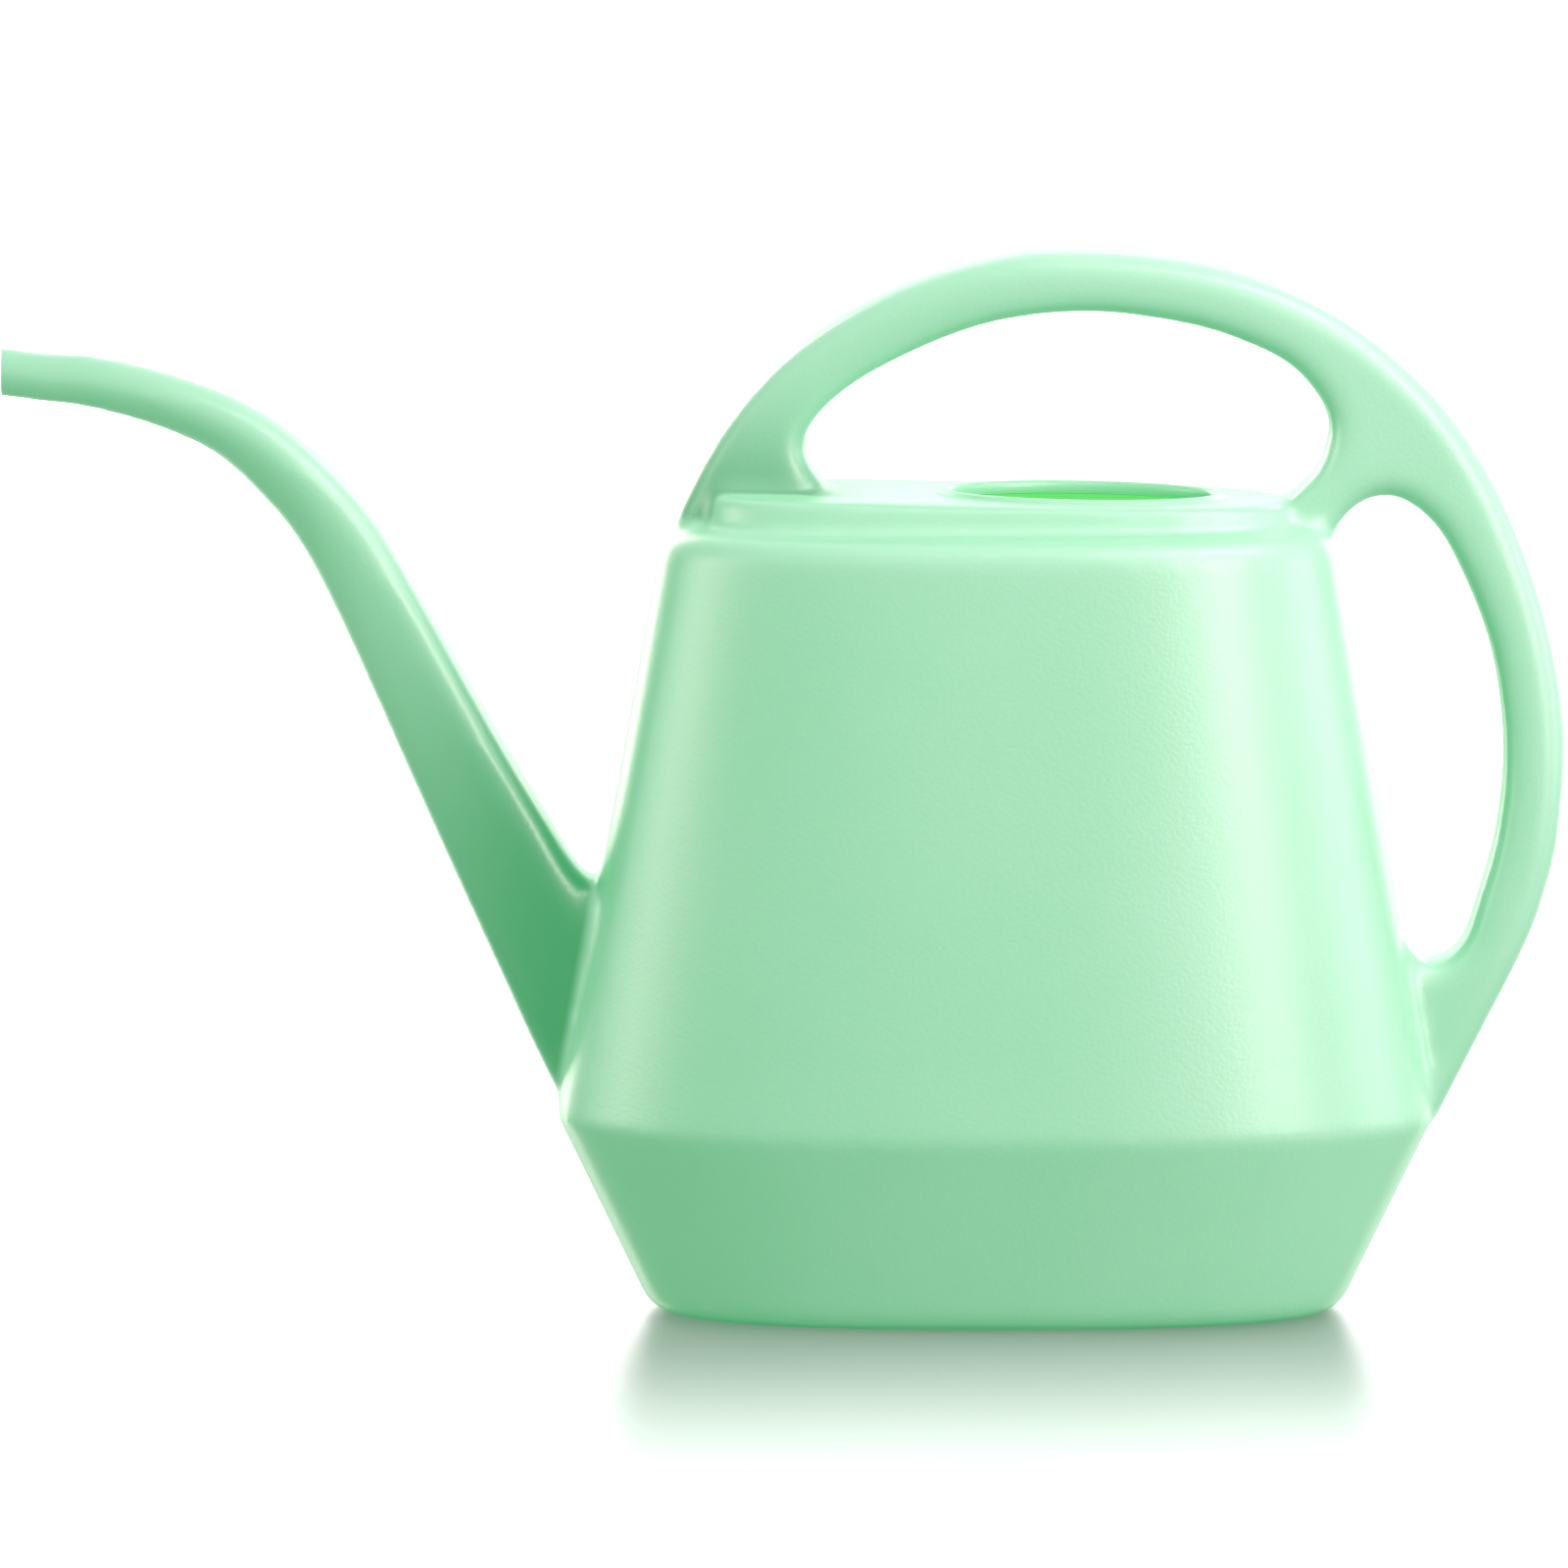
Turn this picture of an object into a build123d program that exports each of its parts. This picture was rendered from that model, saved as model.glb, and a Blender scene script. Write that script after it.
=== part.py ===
"""Blow-moulded garden watering can, built as the members of its moulding.

Millimetres, +Z up, spout towards -X, mid-plane at Y = 0, standing on Z = 0.
The shape is laid out from the tank's own vertical axis and the finished
members are moved along X so that the origin is the middle of the footprint
of the whole can.
"""
from build123d import *
from math import copysign, cos, pi, sin, sqrt
import os

os.makedirs("parts", exist_ok=True)

# ---------------------------------------------------------------- dimensions
WALL = 2.0                  # moulded wall of tank, spout and handle
SINK = 0.4                  # how far a cutting solid reaches past a face

# tank: half length, half depth and squareness of the plan at each height
BASE = (94.8, 37.0, 2.5)    # at the floor, before the edge is rounded
WAIST_Z = 54.7
WAIST = (121.1, 52.0, 2.25)
FLANK_Z = 136.7
FLANK = (104.5, 45.5, 2.25)
SHOULDER_Z = 219.1
SHOULDER = (90.8, 40.0, 2.25)
BASE_R = 6.0                # rounding under the bowl
SHOULDER_R = 6.8            # rounding between flank and ledge
PAN_Z = 9.0                 # where the base pan ends and the bowl starts
COLLAR_Z = 206.5            # where the flank ends and the shoulder starts

# base pan: pushed-up panel inside a foot ring
PANEL = (76.0, 24.0, 2.4)
PANEL_UP = 3.0
PANEL_R = 1.2

# raised filler deck, falling a little towards the rear
DECK = (80.0, 27.5, 2.3)
DECK_TOP = (78.8, 26.3, 2.3)
DECK_Z = 227.2              # height of its top on the tank axis
DECK_FALL = 1.0             # degrees
DECK_R = 3.0

# fill mouth and its rolled rim
MOUTH_X = 23.5
MOUTH = (36.2, 18.0)        # half length and half depth, inside
RIM_WIDE = 3.0
RIM_UP = 1.3
RIM_R = 1.1

# spout: straight outlet tube
OUTLET_R = 6.5
OUTLET_BORE = 4.6
OUTLET_LONG = 22.0
OUTLET_TILT = 6.5           # degrees below level, towards the tank
OUTLET_X = -273.1
OUTLET_Z = 260.8

# spout stations: upper edge, lower edge, half thickness, squareness
NECK_STATIONS = [
    ((-230.0, 261.2), (-234.4, 247.3), 6.9, 2.0),
    ((-205.6, 252.0), (-216.5, 239.0), 7.6, 2.05),
    ((-183.6, 235.5), (-202.2, 227.0), 8.6, 2.1),
    ((-161.4, 201.9), (-180.0, 191.6), 10.2, 2.2),
]
ROOT_STATIONS = [
    ((-138.9, 164.3), (-162.4, 151.9), 12.0, 2.3),
    ((-114.5, 123.0), (-144.4, 111.4), 13.8, 2.4),
    ((-84.0, 94.2), (-120.2, 56.9), 15.2, 2.5),
]

# handle: one flat hoop with two hand holes
HOOP_HALF = 11.0            # half thickness
HOOP_R = 5.0                # rounding of all its edges
HOOP_OUTER = [
    (-89.8, 214.3), (-73.8, 247.4), (-35.5, 280.3), (22.0, 294.5),
    (74.0, 285.6), (119.8, 252.9), (145.2, 209.2), (156.2, 160.0),
    (150.6, 116.2), (144.6, 99.8), (133.1, 76.8), (121.6, 53.9),
]
HOOP_INSIDE = [             # closes the hoop out of sight in the tank
    (100.0, 81.0), (60.0, 202.5), (-60.0, 202.5),
]
TOP_HOLE = [
    (-52.9, 241.5), (-46.0, 253.0), (-15.0, 271.2), (23.9, 278.3),
    (62.0, 271.6), (86.0, 259.3), (91.2, 246.0), (84.6, 230.3),
    (70.0, 221.7), (20.0, 218.7), (-36.0, 222.2), (-48.5, 232.4),
]
REAR_HOLE = [
    (107.3, 227.5), (119.7, 220.3), (129.0, 203.7), (136.8, 181.8),
    (139.6, 154.4), (136.2, 127.2), (128.7, 104.9), (119.6, 98.6),
    (109.0, 105.8), (101.0, 131.6), (94.0, 172.1), (89.0, 202.5),
    (95.5, 220.2),
]
HUB = (23.4, 158.6)         # the hoop is cut into members about this point
CUT_FOOT = 143.0            # degrees, front foot | top grip
CUT_TOP = 57.0              # top grip | bridge
CUT_BRIDGE = 33.0           # bridge | rear grip
CUT_REAR = -17.0            # rear grip | lower foot
FAR = 400.0                 # longer than anything here


# ------------------------------------------------------------------- helpers
def rounded_plan(half_long, half_deep, square):
    """Closed smooth outline, an ellipse when square is 2."""
    power = 2.0 / square
    points = []
    steps = 24
    for i in range(steps):
        c = cos(2 * pi * i / steps)
        s = sin(2 * pi * i / steps)
        x = half_long * copysign(abs(c) ** power, c)
        y = half_deep * copysign(abs(s) ** power, s)
        points.append((x, y))
    return make_face(Spline(*points, periodic=True))


def plan_at(plan, inset, z):
    """One level of the tank, drawn in by inset."""
    return Pos(0, 0, z) * rounded_plan(plan[0] - inset, plan[1] - inset, plan[2])


def slab(plan, inset, low, high):
    """Upright block of a plan between two heights."""
    return extrude(plan_at(plan, inset, low), high - low)


def band(low, high):
    """Everything between two heights."""
    return Pos(0, 0, (low + high) / 2) * Box(2 * FAR, 2 * FAR, high - low)


def widest(shape):
    """The one solid of a cut that is kept, without slivers."""
    return max(shape.solids(), key=lambda s: s.volume)


# ---------------------------------------------------------------------- tank
def bowl_body(inset):
    """Lower cone of the tank, floor to waist."""
    foot = plan_at(BASE, inset, inset)
    rim = plan_at(WAIST, inset, WAIST_Z)
    cone = loft([foot, rim], ruled=True)
    edge = cone.edges().group_by(Axis.Z)[0]
    return fillet(edge, BASE_R - inset)


def flank_body(inset):
    """Upper cone of the tank, waist to ledge."""
    top_z = SHOULDER_Z - inset
    levels = [
        plan_at(WAIST, inset, WAIST_Z),
        plan_at(FLANK, inset, FLANK_Z),
        plan_at(SHOULDER, inset, top_z),
    ]
    cone = loft(levels)
    edge = cone.edges().group_by(Axis.Z)[-1]
    return fillet(edge, SHOULDER_R - inset)


def deck_body(inset):
    """Raised filler deck, with its tilted top."""
    top = Pos(0, 0, DECK_Z - inset) * Rot(0, DECK_FALL, 0)
    face = top * rounded_plan(DECK_TOP[0] - inset, DECK_TOP[1] - inset, DECK_TOP[2])
    root = plan_at(DECK, inset, SHOULDER_Z - WALL - SINK)
    block = loft([root, face], ruled=True)
    edge = block.edges().group_by(Axis.Z)[-1]
    return fillet(edge, DECK_R - inset)


def base_recess(inset):
    """Space under the pushed-up panel, or the step it makes inside."""
    grow = -inset
    block = slab(PANEL, grow, -SINK, PANEL_UP + inset)
    return fillet(block.edges().group_by(Axis.Z)[-1], PANEL_R)


# --------------------------------------------------------------------- spout
def station(upper, lower, half_thick, square, inset):
    """One cross-section of the spout, on its own slanted plane."""
    dx = upper[0] - lower[0]
    dz = upper[1] - lower[1]
    high = sqrt(dx * dx + dz * dz)
    middle = ((upper[0] + lower[0]) / 2, 0, (upper[1] + lower[1]) / 2)
    plane = Plane(origin=middle, x_dir=(dx, 0, dz), z_dir=(dz, 0, -dx))
    return plane * rounded_plan(high / 2 - inset, half_thick - inset, square)


def outlet_axis():
    """Plane across the outlet, its normal running inwards along the tube."""
    tilt = OUTLET_TILT * pi / 180
    run = (cos(tilt), 0, -sin(tilt))
    rise = (sin(tilt), 0, cos(tilt))
    return Plane(origin=(OUTLET_X, 0, OUTLET_Z), x_dir=rise, z_dir=run)


def outlet_tube(radius):
    """Straight round end of the spout, cut off upright."""
    plane = outlet_axis()
    start = 4.0
    tube = extrude(plane.offset(-start) * Circle(radius), OUTLET_LONG + start)
    cutter = Pos(OUTLET_X - FAR / 2, 0, OUTLET_Z) * Box(FAR, FAR, FAR)
    return tube - cutter


def outlet_end(inset):
    """Last round section, where the outlet meets the neck."""
    radius = OUTLET_R
    if inset > 0:
        radius = OUTLET_BORE
    return outlet_axis().offset(OUTLET_LONG) * rounded_plan(radius, radius, 2.0)


def neck_body(inset):
    """Curved part of the spout between outlet and root."""
    sections = [outlet_end(inset)]
    for upper, lower, thick, square in NECK_STATIONS:
        sections.append(station(upper, lower, thick, square, inset))
    return loft(sections)


def root_body(inset):
    """Deepening lower part of the spout, run on into the tank."""
    upper, lower, thick, square = NECK_STATIONS[-1]
    sections = [station(upper, lower, thick, square, inset)]
    for upper, lower, thick, square in ROOT_STATIONS:
        sections.append(station(upper, lower, thick, square, inset))
    return loft(sections)


# -------------------------------------------------------------------- handle
def drawn_in(points, amount, closed):
    """Points moved to the right of their run by amount, along the normal."""
    moved = []
    count = len(points)
    for i in range(count):
        if closed:
            before = points[i - 1]
            after = points[(i + 1) % count]
        else:
            before = points[max(i - 1, 0)]
            after = points[min(i + 1, count - 1)]
        dx = after[0] - before[0]
        dz = after[1] - before[1]
        size = sqrt(dx * dx + dz * dz)
        moved.append((points[i][0] + amount * dz / size, points[i][1] - amount * dx / size))
    return moved


def hoop_outline(inset):
    """Face of the hoop in the mid-plane, drawn in by inset."""
    outer = drawn_in(HOOP_OUTER, inset, False)
    inside = Polyline(outer[-1], *HOOP_INSIDE, outer[0])
    blank = make_face([Spline(*outer), inside])
    top_hole = make_face(Spline(*drawn_in(TOP_HOLE, -inset, True), periodic=True))
    rear_hole = make_face(Spline(*drawn_in(REAR_HOLE, -inset, True), periodic=True))
    return blank - top_hole - rear_hole


def hoop_body(inset):
    """The hoop as a solid, its edges rounded."""
    half = HOOP_HALF - inset
    plate = extrude(Plane.XZ * hoop_outline(inset), half, both=True)
    sides = plate.faces().sort_by(Axis.Y)
    edges = sides[0].edges() + sides[-1].edges()
    return fillet(edges, HOOP_R - inset)


def wedge(start, end):
    """Sector about the hub, for cutting the hoop into members."""
    corners = [HUB]
    steps = 3
    for i in range(steps + 1):
        angle = (start + (end - start) * i / steps) * pi / 180
        corners.append((HUB[0] + FAR * cos(angle), HUB[1] + FAR * sin(angle)))
    face = make_face(Polyline(*corners, HUB))
    return extrude(Plane.XZ * face, FAR, both=True)


# ------------------------------------------------------------ fill mouth rim
def mouth_plane():
    """Plane of the deck top at the middle of the mouth."""
    drop = MOUTH_X * sin(DECK_FALL * pi / 180)
    return Pos(MOUTH_X, 0, DECK_Z - drop) * Rot(0, DECK_FALL, 0)


def mouth_cutter(grow):
    """Upright oval plug through the deck top."""
    deep = 3 * WALL
    oval = Ellipse(MOUTH[0] + grow, MOUTH[1] + grow)
    return mouth_plane() * (Pos(0, 0, -deep) * extrude(oval, 3 * deep))


def rim_body():
    """Rolled rim standing a little proud of the deck."""
    ring = Ellipse(MOUTH[0] + RIM_WIDE, MOUTH[1] + RIM_WIDE) - Ellipse(*MOUTH)
    body = Pos(0, 0, -WALL) * extrude(ring, WALL + RIM_UP)
    body = fillet(body.edges().group_by(Axis.Z)[-1], RIM_R)
    return mouth_plane() * body


# ------------------------------------------------------------------ assembly
def build_members():
    """All members, face to face, with one water space running through."""
    bowl = bowl_body(0)
    flank = flank_body(0)
    deck = deck_body(0)
    outside = bowl + flank + deck

    water = bowl_body(WALL) - base_recess(WALL)
    water = water + flank_body(WALL) + deck_body(WALL)

    spout = root_body(0) - outside
    spout_space = root_body(WALL)
    neck = neck_body(0) - neck_body(WALL)
    tip = outlet_tube(OUTLET_R) - outlet_tube(OUTLET_BORE)

    hoop = hoop_body(0) - outside
    hoop_space = hoop_body(WALL)
    shell = outside - water - spout_space - hoop_space

    members = {}
    members["base_pan"] = (shell & band(-SINK, PAN_Z)) - base_recess(0)
    members["lower_bowl"] = shell & band(PAN_Z, WAIST_Z)
    members["tank_flank"] = shell & band(WAIST_Z, COLLAR_Z)
    crown = shell & band(COLLAR_Z, FAR)
    lid = slab(DECK, 0, SHOULDER_Z - WALL - SINK, FAR)
    members["shoulder_ledge"] = crown - lid
    members["filler_deck"] = (crown & lid) - mouth_cutter(RIM_WIDE)
    members["fill_rim"] = rim_body()

    members["spout_root"] = spout - spout_space
    members["spout_neck"] = neck
    members["spout_outlet"] = tip

    hollow = hoop - hoop_space
    members["handle_front_foot"] = hollow & wedge(CUT_FOOT, 200.0)
    members["handle_top_grip"] = hollow & wedge(CUT_TOP, CUT_FOOT)
    members["handle_bridge"] = hollow & wedge(CUT_BRIDGE, CUT_TOP)
    members["handle_rear_grip"] = hollow & wedge(CUT_REAR, CUT_BRIDGE)
    members["handle_lower_foot"] = hollow & wedge(-100.0, CUT_REAR)
    return {name: widest(shape) for name, shape in members.items()}


def main():
    """Centre the can over the origin and write one file per member."""
    members = build_members()
    boxes = [solid.bounding_box() for solid in members.values()]
    front = min(box.min.X for box in boxes)
    rear = max(box.max.X for box in boxes)
    for name, solid in members.items():
        placed = solid.moved(Location((-(front + rear) / 2, 0, 0)))
        export_step(placed, "parts/" + name + ".step")


main()
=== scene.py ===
"""Looks of a blow-moulded mint-green watering can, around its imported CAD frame.

Metres, +Z up, spout towards -X. The real can is a single moulding, so one
continuous skin stands for the CAD members of the tank, spout and handle, and
the rolled rim of the fill mouth is a piece of its own.
"""
from math import copysign, cos, pi, radians, sin, tan

import bmesh
import bpy
from mathutils import Matrix, Vector


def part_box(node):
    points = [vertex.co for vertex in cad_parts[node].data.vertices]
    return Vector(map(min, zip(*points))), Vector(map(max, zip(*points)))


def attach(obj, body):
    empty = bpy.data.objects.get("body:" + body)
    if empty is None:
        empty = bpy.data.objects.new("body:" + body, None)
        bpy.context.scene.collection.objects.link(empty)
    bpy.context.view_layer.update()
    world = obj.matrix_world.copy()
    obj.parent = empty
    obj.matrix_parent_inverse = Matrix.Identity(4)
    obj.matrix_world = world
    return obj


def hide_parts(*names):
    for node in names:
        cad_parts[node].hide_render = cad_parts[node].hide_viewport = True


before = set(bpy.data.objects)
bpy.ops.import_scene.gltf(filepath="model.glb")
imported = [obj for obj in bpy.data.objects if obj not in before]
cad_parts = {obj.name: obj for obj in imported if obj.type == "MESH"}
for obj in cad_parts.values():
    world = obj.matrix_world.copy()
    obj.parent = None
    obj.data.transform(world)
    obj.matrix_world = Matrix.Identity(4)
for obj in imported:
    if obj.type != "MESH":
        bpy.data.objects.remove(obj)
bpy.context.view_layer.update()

MM = 0.001

# ------------------------------------------------------- places off the frame
PAN_LOW, PAN_HIGH = [Vector(c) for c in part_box("base_pan")]
BOWL_LOW, BOWL_HIGH = [Vector(c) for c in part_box("lower_bowl")]
DECK_LOW, DECK_HIGH = [Vector(c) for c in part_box("filler_deck")]
LEDGE_HIGH = Vector(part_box("shoulder_ledge")[1])
RIM_LOW, RIM_HIGH = [Vector(c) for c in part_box("fill_rim")]
TIP_LOW = Vector(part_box("spout_outlet")[0])
HOOP_HIGH = Vector(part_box("handle_top_grip")[1])

AXIS_X = (BOWL_LOW.x + BOWL_HIGH.x) / 2
WALL = 2.0 * MM

# tank: half lengths and half depths of its plan at each height
WAIST_Z = BOWL_HIGH.z
WAIST_LONG = (BOWL_HIGH.x - BOWL_LOW.x) / 2
WAIST_DEEP = BOWL_HIGH.y
PAN_LONG = (PAN_HIGH.x - PAN_LOW.x) / 2
BOWL_SLOPE = (WAIST_LONG - PAN_LONG) / (WAIST_Z - PAN_HIGH.z)
FOOT_LONG = WAIST_LONG - BOWL_SLOPE * WAIST_Z
FOOT_DEEP = 41.0 * MM
FLANK_Z = 136.7 * MM
FLANK_LONG = 106.4 * MM
FLANK_DEEP = 45.5 * MM
LEDGE_Z = LEDGE_HIGH.z
LEDGE_LONG = 91.9 * MM
LEDGE_DEEP = 40.0 * MM
DECK_LONG = (DECK_HIGH.x - DECK_LOW.x) / 2 + 1.6 * MM
DECK_DRAFT = 0.6 * MM
DECK_DEEP = DECK_HIGH.y
DECK_Z = 227.2 * MM
DECK_FALL = radians(1.0)
REAR_LEAN = 0.5 * MM
FLANK_RINGS = 9

# squareness of the plan: 2 is an ellipse, more is nearer to a rectangle
OVAL = 2.0
SQUARE = 2.6
DECK_SQUARE = 3.4

# pushed-up bottom panel, and the rounding of the tank's rims
PANEL_LONG = 76.0 * MM
PANEL_DEEP = 24.0 * MM
PANEL_UP = 3.0 * MM
PANEL_DRAFT = 2.0 * MM
BASE_ROUND = 5.5 * MM
LEDGE_ROUND = 6.8 * MM
DECK_FOOT_ROUND = 2.0 * MM
DECK_ROUND = 1.6 * MM

# fill mouth, and the section of its rolled rim: (out, up) off the mouth's
# edge and the deck, in millimetres
MOUTH_X = (RIM_LOW.x + RIM_HIGH.x) / 2
RIM_WIDE = 3.0 * MM
MOUTH_LONG = (RIM_HIGH.x - RIM_LOW.x) / 2 - RIM_WIDE
MOUTH_DEEP = RIM_HIGH.y - RIM_WIDE
PLUG_HALF = 8.0 * MM
RIM_SECTION = [
    (0.0, -2.6), (-0.1, -1.2), (-0.1, 0.0), (0.1, 0.75), (0.7, 1.25),
    (1.5, 1.35), (2.3, 1.15), (2.9, 0.6), (3.4, 0.2), (4.3, 0.02),
    (4.5, -0.5), (3.0, -1.2), (1.2, -2.0),
]

# spout stations off the tank axis, in millimetres: x and z of the upper edge,
# x and z of the lower edge, half thickness, squareness of the section, and
# the share by which the section widens to its upper edge
SPOUT = [
    (-281.0, 268.4, -281.0, 255.2, 6.5, 2.0, 0.0),
    (-273.1, 267.4, -273.1, 254.2, 6.5, 2.0, 0.0),
    (-259.5, 265.9, -261.0, 252.7, 6.5, 2.0, 0.0),
    (-246.2, 264.9, -248.6, 251.0, 6.6, 2.0, 0.0),
    (-226.1, 260.0, -231.4, 246.2, 7.0, 2.05, 0.05),
    (-205.6, 251.9, -216.0, 239.3, 7.6, 2.1, 0.1),
    (-188.3, 239.8, -204.9, 229.9, 8.3, 2.2, 0.15),
    (-171.8, 222.2, -192.4, 215.2, 9.2, 2.4, 0.15),
    (-160.0, 203.0, -180.6, 193.0, 10.0, 2.8, 0.2),
    (-138.9, 164.3, -162.4, 151.9, 10.8, 3.2, 0.28),
    (-124.0, 138.4, -150.4, 124.6, 11.2, 3.4, 0.34),
    (-115.0, 123.4, -136.8, 94.4, 11.4, 3.4, 0.36),
    (-108.0, 119.6, -128.0, 74.8, 11.4, 3.4, 0.36),
    (-84.0, 118.6, -119.6, 57.4, 11.4, 3.4, 0.36),
]
SPOUT_RINGS_BETWEEN = 5
RING_POINTS = 48
TANK_POINTS = 144

# hoop: its outline, the corners that close it inside the tank, and its two
# hand holes, as (x, z) in the mid-plane off the tank axis, in millimetres
HOOP_HALF = HOOP_HIGH.y
HOOP_ROUND = 5.6 * MM
HOOP_ROUND_STEPS = 6
HOOP_POINTS_BETWEEN = 6
HOOP_OUTER = [
    (-90.0, 214.3), (-86.0, 225.6), (-73.8, 247.4), (-55.8, 267.3),
    (-29.0, 283.5), (0.0, 292.6), (22.0, 294.5), (50.0, 292.2),
    (74.4, 286.2), (98.8, 274.0), (121.2, 254.1), (136.3, 231.7),
    (146.6, 207.5), (153.2, 184.0), (156.2, 160.0), (154.7, 133.0),
    (150.2, 114.0), (144.6, 99.8), (133.1, 76.8), (121.6, 53.9),
]
HOOP_INSIDE = [(100.0, 81.0), (60.0, 202.5), (-60.0, 202.5)]
TOP_HOLE = [
    (-52.9, 241.5), (-46.4, 252.6), (-30.1, 263.8), (-3.6, 274.7),
    (23.9, 278.2), (50.4, 275.2), (68.2, 269.8), (81.8, 262.3),
    (90.6, 250.0), (89.8, 238.5), (83.0, 229.5), (70.0, 222.6),
    (20.0, 219.5), (-36.0, 223.2), (-46.8, 230.2),
]
REAR_HOLE = [
    (107.3, 227.5), (119.9, 219.8), (129.0, 203.7), (136.0, 184.8),
    (139.3, 165.0), (139.5, 148.0), (137.2, 131.0), (133.0, 115.8),
    (129.0, 104.0), (122.2, 98.0), (114.6, 101.6), (103.0, 131.6),
    (94.0, 172.1), (89.0, 202.5), (95.0, 221.0),
]

# moulding: grid and smoothing of the fused skin, and tolerances of the mesh
FUSE_GRID = 1.7 * MM
FUSE_PASSES = 7
MERGE_WITHIN = 0.01 * MM
LEVEL_WITHIN = 0.02 * MM
CORNER_FROM = radians(20)
SHARP_FROM = radians(42)
OUT_OF_REACH = -1.0


# -------------------------------------------------------------- mesh helpers
def deselect_all():
    """Object mode with nothing selected."""
    if bpy.context.object and bpy.context.object.mode != "OBJECT":
        bpy.ops.object.mode_set(mode="OBJECT")
    bpy.ops.object.select_all(action="DESELECT")


def activate(piece):
    """Only this piece selected, and active."""
    deselect_all()
    piece.select_set(True)
    bpy.context.view_layer.objects.active = piece


def finish_with(piece, kind, **settings):
    """Adds one modifier and applies it."""
    activate(piece)
    modifier = piece.modifiers.new(kind.title(), kind)
    for key, value in settings.items():
        setattr(modifier, key, value)
    bpy.ops.object.modifier_apply(modifier=modifier.name)


def bevel_rings(piece, level, offset, segments, outward=True):
    """Rounds the ring of outward (or inward) edges that lies at one height."""
    activate(piece)
    bpy.ops.object.mode_set(mode="EDIT")
    bpy.ops.mesh.select_all(action="DESELECT")
    mesh = bmesh.from_edit_mesh(piece.data)
    for edge in mesh.edges:
        flat = all(abs(level(v.co) - v.co.z) < LEVEL_WITHIN for v in edge.verts)
        corner = len(edge.link_faces) == 2 and edge.calc_face_angle() > CORNER_FROM
        if flat and corner and edge.is_convex == outward:
            edge.select = True
    bmesh.update_edit_mesh(piece.data)
    bpy.ops.mesh.bevel(offset=offset, segments=segments, affect="EDGES")
    bpy.ops.object.mode_set(mode="OBJECT")


def weld(piece):
    """Merges doubled points, then turns every face outwards."""
    activate(piece)
    bpy.ops.object.mode_set(mode="EDIT")
    bpy.ops.mesh.select_all(action="SELECT")
    bpy.ops.mesh.remove_doubles(threshold=MERGE_WITHIN)
    bpy.ops.mesh.normals_make_consistent(inside=False)
    bpy.ops.object.mode_set(mode="OBJECT")


def grow(name, rings, closed=True):
    """A circle primitive set on the first ring and extruded through the rest."""
    deselect_all()
    fill = "NGON" if closed else "NOTHING"
    bpy.ops.mesh.primitive_circle_add(vertices=len(rings[0]), fill_type=fill)
    piece = bpy.context.object
    piece.name = name
    for vertex, place in zip(piece.data.vertices, rings[0]):
        vertex.co = place
    bpy.ops.object.mode_set(mode="EDIT")
    bpy.ops.mesh.select_all(action="SELECT")
    for before, after in zip(rings, rings[1:]):
        bpy.ops.mesh.extrude_region_move()
        mesh = bmesh.from_edit_mesh(piece.data)
        count = len(before)
        guess = 0
        for vert in [v for v in mesh.verts if v.select]:
            order = [guess] + list(range(count))
            guess = min(order, key=lambda i: (vert.co - before[i]).length_squared)
            vert.co = after[guess]
            guess = (guess + 1) % count
        bmesh.update_edit_mesh(piece.data)
    if closed:
        bpy.ops.mesh.select_all(action="SELECT")
        bpy.ops.mesh.normals_make_consistent(inside=False)
    bpy.ops.object.mode_set(mode="OBJECT")
    return piece


def plan_ring(half_long, half_deep, height, square=SQUARE):
    """One level of the tank; height is a number or a rule of x."""
    ring = []
    for i in range(TANK_POINTS):
        c = cos(2 * pi * i / TANK_POINTS)
        s = sin(2 * pi * i / TANK_POINTS)
        x = half_long * copysign(abs(c) ** (2 / square), c)
        y = half_deep * copysign(abs(s) ** (2 / square), s)
        z = height(x) if callable(height) else height
        ring.append(Vector((AXIS_X + x, y, z)))
    return ring


def along(points, t):
    """Smooth (Catmull-Rom) value at place t of a list of equal tuples."""
    i = min(int(t), len(points) - 2)
    f = t - i
    p0 = points[max(i - 1, 0)]
    p1 = points[i]
    p2 = points[i + 1]
    p3 = points[min(i + 2, len(points) - 1)]
    out = []
    for a, b, c, d in zip(p0, p1, p2, p3):
        out.append(0.5 * (2 * b + (c - a) * f + (2 * a - 5 * b + 4 * c - d) * f * f
                          + (3 * b - a - 3 * c + d) * f ** 3))
    return out


def loop_through(points, closed, between):
    """Smooth run of points through given ones, open or closed."""
    if closed:
        wrapped = [points[-1]] + points + points[:2]
        return [along(wrapped, 1 + k / between) for k in range(len(points) * between)]
    return [along(points, k / between) for k in range((len(points) - 1) * between + 1)]


# ---------------------------------------------------------------------- tank
def deck_height(x):
    """Top of the deck at a distance from the tank axis."""
    return DECK_Z - x * tan(DECK_FALL)


def flank_at(z):
    """Half length and half depth of the flank: a gentle flare to the waist."""
    out = []
    for low, mid, high in ((WAIST_LONG, FLANK_LONG, LEDGE_LONG),
                           (WAIST_DEEP, FLANK_DEEP, LEDGE_DEEP)):
        a = (z - FLANK_Z) * (z - LEDGE_Z) / ((WAIST_Z - FLANK_Z) * (WAIST_Z - LEDGE_Z))
        b = (z - WAIST_Z) * (z - LEDGE_Z) / ((FLANK_Z - WAIST_Z) * (FLANK_Z - LEDGE_Z))
        c = (z - WAIST_Z) * (z - FLANK_Z) / ((LEDGE_Z - WAIST_Z) * (LEDGE_Z - FLANK_Z))
        out.append(a * low + b * mid + c * high)
    return out


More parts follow.
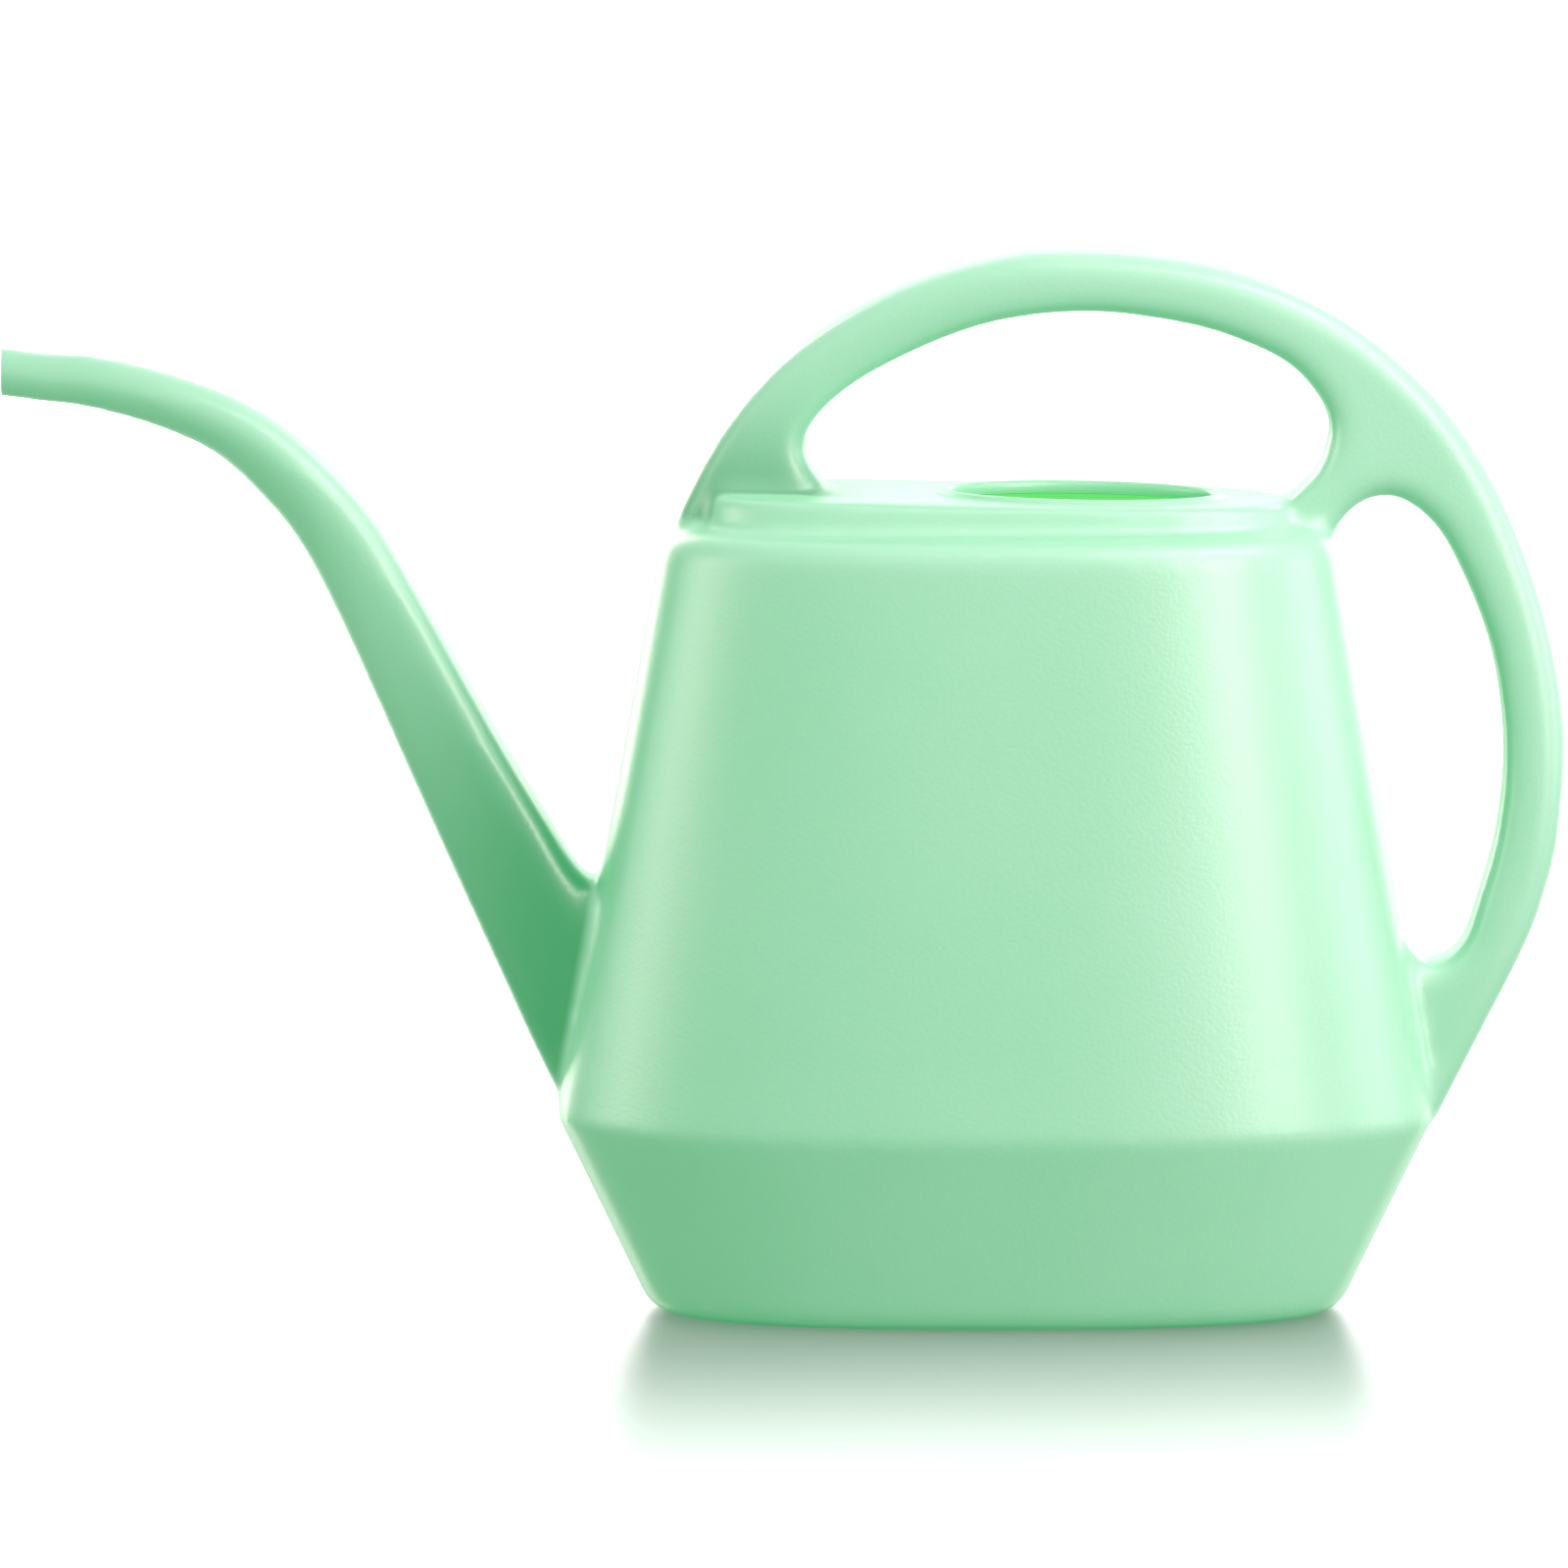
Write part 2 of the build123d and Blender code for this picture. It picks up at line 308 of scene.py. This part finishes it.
def foot_level(co, inset):
    """Height of the outer foot edge; out of reach for the panel's own edge."""
    x = abs(co.x - AXIS_X) / PANEL_LONG
    y = abs(co.y) / PANEL_DEEP
    clear_of_panel = (x ** SQUARE + y ** SQUARE) ** (1 / SQUARE) > 1.1
    return inset if clear_of_panel else OUT_OF_REACH


def tank_skin(name, inset):
    """Tank and raised deck, its walls drawn in by inset."""
    rings = [
        plan_ring(PANEL_LONG - PANEL_DRAFT + inset, PANEL_DEEP - PANEL_DRAFT + inset,
                  inset + PANEL_UP),
        plan_ring(PANEL_LONG + inset, PANEL_DEEP + inset, inset),
        plan_ring(FOOT_LONG - inset, FOOT_DEEP - inset, inset),
        plan_ring(WAIST_LONG - inset, WAIST_DEEP - inset, WAIST_Z),
    ]
    for k in range(1, FLANK_RINGS + 1):
        z = WAIST_Z + (LEDGE_Z - inset - WAIST_Z) * k / FLANK_RINGS
        half_long, half_deep = flank_at(z)
        lean = Vector((REAR_LEAN * k / FLANK_RINGS, 0, 0))
        rings.append([p + lean for p in plan_ring(half_long - inset, half_deep - inset, z)])
    rings.append(plan_ring(DECK_LONG + DECK_DRAFT - inset, DECK_DEEP + DECK_DRAFT - inset,
                           LEDGE_Z - inset, DECK_SQUARE))
    rings.append(plan_ring(DECK_LONG - inset, DECK_DEEP - inset,
                           lambda x: deck_height(x) - inset, DECK_SQUARE))
    tank = grow(name, rings)
    bevel_rings(tank, lambda co: foot_level(co, inset), BASE_ROUND, 6)
    bevel_rings(tank, lambda co: LEDGE_Z - inset, LEDGE_ROUND, 8)
    bevel_rings(tank, lambda co: LEDGE_Z - inset, DECK_FOOT_ROUND, 3, outward=False)
    bevel_rings(tank, lambda co: deck_height(co.x - AXIS_X) - inset, DECK_ROUND, 3)
    return tank


# --------------------------------------------------------------------- spout
def spout_skin(name, inset):
    """Spout from beyond its tip into the tank."""
    rings = []
    for station in loop_through(SPOUT, False, SPOUT_RINGS_BETWEEN):
        upx, upz, lowx, lowz, thick, square, wedge = station
        upper = Vector((AXIS_X + upx * MM, 0, upz * MM))
        lower = Vector((AXIS_X + lowx * MM, 0, lowz * MM))
        middle = (upper + lower) / 2
        rise = (upper - lower).normalized()
        high = (upper - lower).length / 2 - inset
        ring = []
        for i in range(RING_POINTS):
            c = cos(2 * pi * i / RING_POINTS)
            s = sin(2 * pi * i / RING_POINTS)
            up = copysign(abs(c) ** (2 / square), c)
            u = high * up
            v = (thick * MM * (1 + wedge * up) - inset) * copysign(abs(s) ** (2 / square), s)
            ring.append(middle + rise * u + Vector((0, v, 0)))
        rings.append(ring)
    return grow(name, rings)


# ---------------------------------------------------------------------- hoop
def hoop_skin(name):
    """The hoop with its two hand holes, edges rounded by a curve bevel."""
    deselect_all()
    curve = bpy.data.curves.new(name, "CURVE")
    curve.dimensions = "2D"
    curve.fill_mode = "BOTH"
    curve.extrude = HOOP_HALF - HOOP_ROUND
    curve.bevel_depth = HOOP_ROUND
    curve.bevel_resolution = HOOP_ROUND_STEPS
    curve.offset = -HOOP_ROUND
    outline = loop_through(HOOP_OUTER, False, HOOP_POINTS_BETWEEN) + HOOP_INSIDE
    holes = [loop_through(hole, True, HOOP_POINTS_BETWEEN) for hole in (TOP_HOLE, REAR_HOLE)]
    for points in (outline, *holes):
        spline = curve.splines.new("POLY")
        spline.points.add(len(points) - 1)
        spline.use_cyclic_u = True
        for point, (x, z) in zip(spline.points, points):
            point.co = (AXIS_X + x * MM, z * MM, 0, 1)
    hoop = bpy.data.objects.new(name, curve)
    bpy.context.collection.objects.link(hoop)
    activate(hoop)
    bpy.ops.object.convert(target="MESH")
    hoop = bpy.context.object
    hoop.data.transform(Matrix.Rotation(pi / 2, 4, "X"))
    weld(hoop)
    return hoop


# ------------------------------------------------------------------- moulding
def fuse(pieces, name):
    """One skin over overlapping pieces, its inner corners softened as moulded."""
    activate(pieces[0])
    for piece in pieces[1:]:
        piece.select_set(True)
    bpy.ops.object.join()
    skin = bpy.context.object
    skin.name = name
    finish_with(skin, "REMESH", mode="VOXEL", voxel_size=FUSE_GRID, use_smooth_shade=True)
    finish_with(skin, "SMOOTH", factor=0.5, iterations=FUSE_PASSES)
    return skin


def cut_off_tip(skin):
    """Upright cut across the end of the spout."""
    activate(skin)
    bpy.ops.object.mode_set(mode="EDIT")
    bpy.ops.mesh.select_all(action="SELECT")
    bpy.ops.mesh.bisect(plane_co=(TIP_LOW.x, 0, 0), plane_no=(1, 0, 0),
                        use_fill=True, clear_inner=True)
    bpy.ops.object.mode_set(mode="OBJECT")


def mouth_plug():
    """Oval plug through the deck, to cut the fill mouth."""
    rings = []
    for z in (-PLUG_HALF, 0, PLUG_HALF):
        ring = plan_ring(MOUTH_LONG, MOUTH_DEEP, DECK_Z + z, OVAL)
        rings.append([p + Vector((MOUTH_X - AXIS_X, 0, 0)) for p in ring])
    return grow("mouth_plug", rings)


def add_volume(target, other):
    """Boolean union that uses the other piece up."""
    finish_with(target, "BOOLEAN", operation="UNION", solver="EXACT", object=other)
    bpy.data.objects.remove(other)


def hollow_out(skin, water):
    """Takes the water space out of the skin; cut faces keep their own finish."""
    finish_with(skin, "BOOLEAN", operation="DIFFERENCE", solver="EXACT",
                material_mode="TRANSFER", object=water)
    bpy.data.objects.remove(water)


def mouth_rim():
    """Rolled rim: an oval ring grown through its section, then closed."""
    rings = []
    for out, up in RIM_SECTION:
        ring = plan_ring(MOUTH_LONG + out * MM, MOUTH_DEEP + out * MM, 0.0, OVAL)
        placed = []
        for p in ring:
            x = p.x + MOUTH_X - AXIS_X
            placed.append(Vector((x, p.y, deck_height(x - AXIS_X) + up * MM)))
        rings.append(placed)
    rim = grow("fill_mouth_rim", rings + [rings[0]], closed=False)
    weld(rim)
    finish_with(rim, "SUBSURF", levels=1, render_levels=1)
    bpy.ops.object.shade_smooth()
    return rim


# ------------------------------------------------------------------ materials
def new_group(name, inputs, outputs):
    """Empty shader node group with named sockets."""
    tree = bpy.data.node_groups.new(name, "ShaderNodeTree")
    for label, kind, value in inputs:
        socket = tree.interface.new_socket(label, in_out="INPUT", socket_type=kind)
        if value is not None:
            socket.default_value = value
    for label, kind in outputs:
        tree.interface.new_socket(label, in_out="OUTPUT", socket_type=kind)
    start = tree.nodes.new("NodeGroupInput")
    end = tree.nodes.new("NodeGroupOutput")
    return tree, start, end


def node(tree, kind, **settings):
    """Adds one node; settings are its properties."""
    made = tree.nodes.new(kind)
    for key, value in settings.items():
        setattr(made, key, value)
    return made


def maths(tree, operation, *values, clamp=False):
    """One Math node fed by sockets or numbers; gives its output socket."""
    made = node(tree, "ShaderNodeMath", operation=operation, use_clamp=clamp)
    for socket, value in zip(made.inputs, values):
        if isinstance(value, (int, float)):
            socket.default_value = value
        else:
            tree.links.new(value, socket)
    return made.outputs[0]


def grain_group():
    """Fine pebbled mould grain: small soft cells broken up by noise."""
    tree, start, end = new_group(
        "moulded_grain",
        [("Place", "NodeSocketVector", None), ("Pebbles Per Metre", "NodeSocketFloat", 900.0),
         ("Unevenness", "NodeSocketFloat", 0.5)],
        [("Height", "NodeSocketFloat")])
    cells = node(tree, "ShaderNodeTexVoronoi", feature="SMOOTH_F1")
    cells.inputs["Smoothness"].default_value = 0.8
    noise = node(tree, "ShaderNodeTexNoise")
    noise.inputs["Detail"].default_value = 2.0
    tree.links.new(start.outputs["Place"], cells.inputs["Vector"])
    tree.links.new(start.outputs["Pebbles Per Metre"], cells.inputs["Scale"])
    tree.links.new(start.outputs["Place"], noise.inputs["Vector"])
    slower = maths(tree, "MULTIPLY", start.outputs["Pebbles Per Metre"], 0.45)
    tree.links.new(slower, noise.inputs["Scale"])
    pebble = maths(tree, "SUBTRACT", 1.0, cells.outputs["Distance"])
    rough = maths(tree, "MULTIPLY", noise.outputs["Fac"], start.outputs["Unevenness"])
    tree.links.new(maths(tree, "ADD", pebble, rough), end.inputs["Height"])
    return tree


def tone_group():
    """Slow drift of wall thickness that shows as lighter and deeper plastic."""
    tree, start, end = new_group(
        "wall_tone",
        [("Place", "NodeSocketVector", None), ("Patches Per Metre", "NodeSocketFloat", 14.0)],
        [("Tone", "NodeSocketFloat")])
    noise = node(tree, "ShaderNodeTexNoise")
    noise.inputs["Detail"].default_value = 3.0
    noise.inputs["Roughness"].default_value = 0.45
    tree.links.new(start.outputs["Place"], noise.inputs["Vector"])
    tree.links.new(start.outputs["Patches Per Metre"], noise.inputs["Scale"])
    tree.links.new(noise.outputs["Fac"], end.inputs["Tone"])
    return tree


def seam_group():
    """Thin parting line left by the mould halves, where the skin meets Y = 0."""
    tree, start, end = new_group(
        "parting_line",
        [("Place", "NodeSocketVector", None), ("Half Width", "NodeSocketFloat", 0.00035)],
        [("Ridge", "NodeSocketFloat")])
    split = node(tree, "ShaderNodeSeparateXYZ")
    tree.links.new(start.outputs["Place"], split.inputs[0])
    away = maths(tree, "ABSOLUTE", split.outputs["Y"])
    share = maths(tree, "DIVIDE", away, start.outputs["Half Width"])
    tree.links.new(maths(tree, "SUBTRACT", 1.0, share, clamp=True), end.inputs["Ridge"])
    return tree


def span(tree, value, low, high, start=0.0, end=1.0):
    """Smooth step: start where the value is at low, end where it is at high."""
    made = node(tree, "ShaderNodeMapRange", interpolation_type="SMOOTHSTEP")
    tree.links.new(value, made.inputs["Value"])
    ends = {"From Min": low, "From Max": high, "To Min": start, "To Max": end}
    for label, number in ends.items():
        made.inputs[label].default_value = number
    return made.outputs["Result"]


# painted shade: how far it reaches along the spout root and up the hoop's front foot, and how
# strong it is at the spout's edges and on the foot
ROOT_STARTS = (0.0 * MM, 3.0 * MM)
ROOT_FADES = (6.0 * MM, 82.0 * MM)
ROOT_FACE = (2.0 * MM, 7.0 * MM)
ROOT_EDGE_SHADE = 0.25
HOOP_EDGE = (14.5 * MM, 12.5 * MM)
FOOT_STARTS = (LEDGE_Z + 1.0 * MM, LEDGE_Z + 4.0 * MM)
FOOT_FADES = (DECK_HIGH.z - 12.0 * MM, DECK_HIGH.z + 35.0 * MM)
FOOT_SHADE = 0.95
FOOT_REAR = (AXIS_X - 30.0 * MM, AXIS_X - 55.0 * MM)
FOOT_FRONT = (AXIS_X - 120.0 * MM, AXIS_X - 100.0 * MM)


def painted_shade_group():
    """Painted shade: darkens the colour at the spout root, where the tank shades it, and on the
    handle foot.
    """
    tree, start, end = new_group(
        "painted_shade_mask", [("Place", "NodeSocketVector", None), ("Least", "NodeSocketFloat", 0.1)],
        [("Unshaded", "NodeSocketFloat")])
    split = node(tree, "ShaderNodeSeparateXYZ")
    tree.links.new(start.outputs["Place"], split.inputs[0])
    aside = maths(tree, "ABSOLUTE", split.outputs["Y"])

    # distance in front of the sloping tank end, which leans in as it rises
    lean = (WAIST_LONG - FLANK_LONG) / (FLANK_Z - WAIST_Z)
    end_at_floor = AXIS_X - WAIST_LONG - lean * WAIST_Z
    tank_end = maths(tree, "MULTIPLY_ADD", split.outputs["Z"], lean, end_at_floor)
    ahead = maths(tree, "SUBTRACT", tank_end, split.outputs["X"])
    # painted shadow on the spout root: strongest just off the tank end, fading along the spout,
    # lighter along its upper and lower edges
    root = maths(tree, "MULTIPLY", span(tree, ahead, *ROOT_STARTS),
                 span(tree, ahead, *ROOT_FADES, 1.0, 0.0))
    root = maths(tree, "MULTIPLY", root, span(tree, aside, *ROOT_FACE, ROOT_EDGE_SHADE, 1.0))

    # painted shade on the hoop's front foot, from the ledge up past the deck
    foot = span(tree, aside, *HOOP_EDGE)
    for mask in (span(tree, split.outputs["Z"], *FOOT_STARTS),
                 span(tree, split.outputs["Z"], *FOOT_FADES, FOOT_SHADE, 0.0),
                 span(tree, split.outputs["X"], *FOOT_REAR),
                 span(tree, split.outputs["X"], *FOOT_FRONT)):
        foot = maths(tree, "MULTIPLY", foot, mask)

    # the stronger of the two painted shades darkens the colour down to Least
    deep = maths(tree, "MAXIMUM", root, foot)
    most_lost = maths(tree, "SUBTRACT", 1.0, start.outputs["Least"])
    lost = maths(tree, "MULTIPLY", deep, most_lost)
    tree.links.new(maths(tree, "SUBTRACT", 1.0, lost), end.inputs["Unshaded"])
    return tree


GRAIN = grain_group()
PAINTED_SHADE = painted_shade_group()
TONE = tone_group()
SEAM = seam_group()


def place_group(tree, group, place, **values):
    """A node group set into a material, fed with the place and its values."""
    made = node(tree, "ShaderNodeGroup", node_tree=group)
    tree.links.new(place, made.inputs["Place"])
    for label, value in values.items():
        made.inputs[label.replace("_", " ")].default_value = value
    return made


# polyethylene: what is the same all over it, and how far down the tank's
# inside the painted glow reaches, dimmer lower down as painted shade
PLASTIC = {
    "IOR": 1.5,
    "Subsurface Weight": 0.25,
    "Subsurface Radius": (0.5, 1.0, 0.6),
    "Subsurface Scale": 0.004,
    "Emission Strength": 1.0,
}
ROUGH_DRIFT = 0.08
SEAM_RISE = 1.6
RELIEF_DISTANCE = 0.1 * MM
LIT_HIGH = DECK_Z - 8.0 * MM
LIT_LOW = DECK_Z - 90.0 * MM


def scaled(tree, colour, share):
    """A colour times a varying share; gives the output socket."""
    made = node(tree, "ShaderNodeVectorMath", operation="SCALE")
    if isinstance(colour, tuple):
        made.inputs[0].default_value = colour
    else:
        tree.links.new(colour, made.inputs[0])
    tree.links.new(share, made.inputs["Scale"])
    return made.outputs[0]


def mint_material(name, deep, light, rough, bump, painted_glow, dimmest_glow=1.0):
    """Satin mint polyethylene: toned, grained, with the parting line, a painted glow for light
    through the wall, and painted shade at the spout root and handle foot.
    """
    material = bpy.data.materials.new(name)
    material.use_nodes = True
    tree = material.node_tree
    shader = tree.nodes["Principled BSDF"]
    place = node(tree, "ShaderNodeTexCoord").outputs["Object"]
    grain = place_group(tree, GRAIN, place, Pebbles_Per_Metre=950.0, Unevenness=0.6)
    tone = place_group(tree, TONE, place, Patches_Per_Metre=16.0)
    seam = place_group(tree, SEAM, place, Half_Width=0.4 * MM)
    # painted shade at the spout root and the hoop's front foot
    shade_mask = place_group(tree, PAINTED_SHADE, place, Least=0.12)

    ramp = node(tree, "ShaderNodeValToRGB")
    for stop, position, colour in zip(ramp.color_ramp.elements, (0.3, 0.7), (deep, light)):
        stop.position = position
        stop.color = (*colour, 1)
    tree.links.new(tone.outputs["Tone"], ramp.inputs["Fac"])
    # base colour darkened by the painted shade
    shaded = scaled(tree, ramp.outputs["Color"], shade_mask.outputs["Unshaded"])
    tree.links.new(shaded, shader.inputs["Base Color"])
    drift = maths(tree, "MULTIPLY_ADD", tone.outputs["Tone"], ROUGH_DRIFT, rough - ROUGH_DRIFT / 2)
    tree.links.new(drift, shader.inputs["Roughness"])

    ridge = maths(tree, "MULTIPLY", seam.outputs["Ridge"], SEAM_RISE)
    relief = node(tree, "ShaderNodeBump")
    relief.inputs["Strength"].default_value = bump
    relief.inputs["Distance"].default_value = RELIEF_DISTANCE
    tree.links.new(maths(tree, "ADD", grain.outputs["Height"], ridge), relief.inputs["Height"])
    tree.links.new(relief.outputs["Normal"], shader.inputs["Normal"])

    for label, value in PLASTIC.items():
        shader.inputs[label].default_value = value
    # painted light: an even green glow stands in for light scattered through the translucent wall
    shader.inputs["Emission Color"].default_value = (*painted_glow, 1)
    # painted glow that dims further down inside the tank, as painted shade
    if dimmest_glow < 1.0:
        split = node(tree, "ShaderNodeSeparateXYZ")
        tree.links.new(place, split.inputs[0])
        soaked = span(tree, split.outputs["Z"], LIT_LOW, LIT_HIGH, dimmest_glow, 1.0)
        tree.links.new(scaled(tree, painted_glow, soaked), shader.inputs["Emission Color"])
    return material


# outside: painted glow for light scattered through the wall
OUTSIDE = mint_material("mint_outside", deep=(0.32, 0.41, 0.36), light=(0.35, 0.43, 0.39),
                        rough=0.36, bump=0.30, painted_glow=(0.015, 0.31, 0.09))
# painted light: the inside is a greener copy of the plastic with a stronger glow, standing in for
# light shining through the wall
INSIDE = mint_material("mint_inside", deep=(0.18, 0.46, 0.20), light=(0.22, 0.50, 0.24),
                       rough=0.45, bump=0.15, painted_glow=(0.12, 0.48, 0.13), dimmest_glow=0.35)


# ------------------------------------------------------------------- assembly
tank = tank_skin("tank_block", 0.0)
spout = spout_skin("spout_block", 0.0)
hoop = hoop_skin("hoop_block")
skin = fuse([tank, spout, hoop], "moulded_can")
cut_off_tip(skin)

water = tank_skin("water_space", WALL)
add_volume(water, mouth_plug())
add_volume(water, spout_skin("spout_space", WALL))
for piece, finish in ((skin, OUTSIDE), (water, INSIDE)):
    piece.data.materials.clear()
    piece.data.materials.append(finish)
hollow_out(skin, water)
activate(skin)
bpy.ops.object.shade_smooth_by_angle(angle=SHARP_FROM)

rim = mouth_rim()
rim.data.materials.append(OUTSIDE)

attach(skin, "root")
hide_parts("base_pan", "lower_bowl", "tank_flank", "shoulder_ledge", "filler_deck",
            "spout_root", "spout_neck", "spout_outlet", "handle_front_foot",
            "handle_top_grip", "handle_bridge", "handle_rear_grip", "handle_lower_foot")
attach(rim, "root")
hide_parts("fill_rim")


# ---------------------------------------------------------------------- stage
FLOOR_SIZE = 12.0
FLOOR_GAP = 0.2 * MM
FLOOR_METAL = 0.85
FLOOR_ROUGH = 0.27
FLOOR_COLOUR = 0.30
FLOOR_COLOUR_BOUNCED = 0.08
IMAGE_FADES = (0.02, 0.27)
FLOOR_LIFT = (0.16, 0.85)


def floor_material():
    """Glossy white sheet with painted light: a glow seen only by the camera brightens it away from
    the can, so its image fades.
    """
    material = bpy.data.materials.new("studio_floor")
    material.use_nodes = True
    tree = material.node_tree
    shader = tree.nodes["Principled BSDF"]
    shader.inputs["Metallic"].default_value = FLOOR_METAL
    shader.inputs["Roughness"].default_value = FLOOR_ROUGH
    shader.inputs["Emission Color"].default_value = (1, 1, 1, 1)

    # distance from the line under the foot, the same on every side
    away = node(tree, "ShaderNodeTexCoord").outputs["Object"]
    for step, amount in (("SUBTRACT", (AXIS_X, 0, 0)), ("ABSOLUTE", (0, 0, 0)),
                         ("SUBTRACT", (FOOT_LONG, 0, 0)), ("MAXIMUM", (0, 0, 0))):
        moved = node(tree, "ShaderNodeVectorMath", operation=step)
        moved.inputs[1].default_value = amount
        tree.links.new(away, moved.inputs[0])
        away = moved.outputs[0]
    length = node(tree, "ShaderNodeVectorMath", operation="LENGTH")
    tree.links.new(away, length.inputs[0])
    fade = span(tree, length.outputs["Value"], *IMAGE_FADES, *FLOOR_LIFT)

    rays = node(tree, "ShaderNodeLightPath")
    dimmed = maths(tree, "MULTIPLY_ADD", rays.outputs["Is Diffuse Ray"],
                   FLOOR_COLOUR_BOUNCED - FLOOR_COLOUR, FLOOR_COLOUR)
    tree.links.new(dimmed, shader.inputs["Base Color"])
    # painted light: camera rays see a glow, weak near the foot and strong farther out
    lift = maths(tree, "MULTIPLY", rays.outputs["Is Camera Ray"], fade)
    tree.links.new(lift, shader.inputs["Emission Strength"])
    return material


deselect_all()
bpy.ops.mesh.primitive_plane_add(size=FLOOR_SIZE, location=(0, 0, -FLOOR_GAP))
floor = bpy.context.object
floor.name = "floor"
floor.data.materials.append(floor_material())


def studio_world(soft, gloss):
    """Even white room: soft light at one strength, mirrored light at another."""
    world = bpy.data.worlds.new("studio")
    world.use_nodes = True
    tree = world.node_tree
    rays = node(tree, "ShaderNodeLightPath")
    extra = maths(tree, "MULTIPLY", rays.outputs["Is Glossy Ray"], gloss - soft)
    total = maths(tree, "ADD", extra, soft)
    tree.links.new(total, tree.nodes["Background"].inputs["Strength"])
    tree.nodes["Background"].inputs["Color"].default_value = (1, 1, 1, 1)
    bpy.context.scene.world = world


LIGHTS_AIM = Vector((0, 0, 0.14))
GLINT_TINT = (1.0, 0.80, 0.78)


def softbox(name, azimuth, height, distance, wide, tall, brightness, mirrored_only=False):
    """Area light aimed at the can's middle; a mirrored_only one gives just glints."""
    turn = radians(azimuth)
    place = Vector((distance * sin(turn), -distance * cos(turn), height))
    light = bpy.data.lights.new(name, "AREA")
    light.shape = "RECTANGLE"
    light.size = wide
    light.size_y = tall
    light.energy = brightness * pi * wide * tall
    lamp = bpy.data.objects.new(name, light)
    lamp.visible_diffuse = not mirrored_only
    if mirrored_only:
        light.color = GLINT_TINT
    bpy.context.collection.objects.link(lamp)
    facing = (LIGHTS_AIM - place).to_track_quat("-Z", "Y")
    lamp.matrix_world = Matrix.Translation(place) @ facing.to_matrix().to_4x4()


studio_world(soft=0.13, gloss=2.3)

# name, azimuth in degrees, height and distance, width and length, radiance
softbox("key", 48, 0.85, 0.60, 0.50, 0.50, 9.3)
softbox("right_strip", 34, 0.40, 1.6, 0.34, 1.1, 6.0)
softbox("right_glint", 34, 0.40, 1.6, 0.24, 1.1, 24.0, mirrored_only=True)
softbox("left_strip", -62, 0.32, 1.6, 0.80, 0.9, 5.6, mirrored_only=True)
softbox("right_side", 74, 0.12, 1.5, 0.90, 0.9, 5.5)
softbox("left_side", -82, 0.12, 1.5, 0.90, 0.9, 3.8)
softbox("top_box", 180, 1.60, 0.4, 1.60, 1.2, 0.5)
softbox("rear_right", 142, 0.70, 1.6, 0.60, 1.4, 4.5, mirrored_only=True)
softbox("rear_left", -142, 0.70, 1.6, 0.60, 1.4, 10.0, mirrored_only=True)

# --------------------------------------------------------------------- camera
# it looks down a little from far back, and sees SEEN_WIDE metres at the can
AIM = Vector((0, 0, 0.1463))
FAR_BACK = 4.60
CAMERA_UP = 0.7293
SEEN_WIDE = 0.432
SENSOR = 36.0
eye = Vector((AIM.x, -FAR_BACK, AIM.z + CAMERA_UP))
camera_data = bpy.data.cameras.new("camera")
camera_data.sensor_width = SENSOR
camera_data.lens = SENSOR * (eye - AIM).length / SEEN_WIDE
camera_data.clip_end = 50.0
camera = bpy.data.objects.new("camera", camera_data)
bpy.context.collection.objects.link(camera)
look = (AIM - eye).to_track_quat("-Z", "Y")
camera.matrix_world = Matrix.Translation(eye) @ look.to_matrix().to_4x4()
bpy.context.scene.camera = camera
bpy.context.scene.view_settings.view_transform = "Standard"
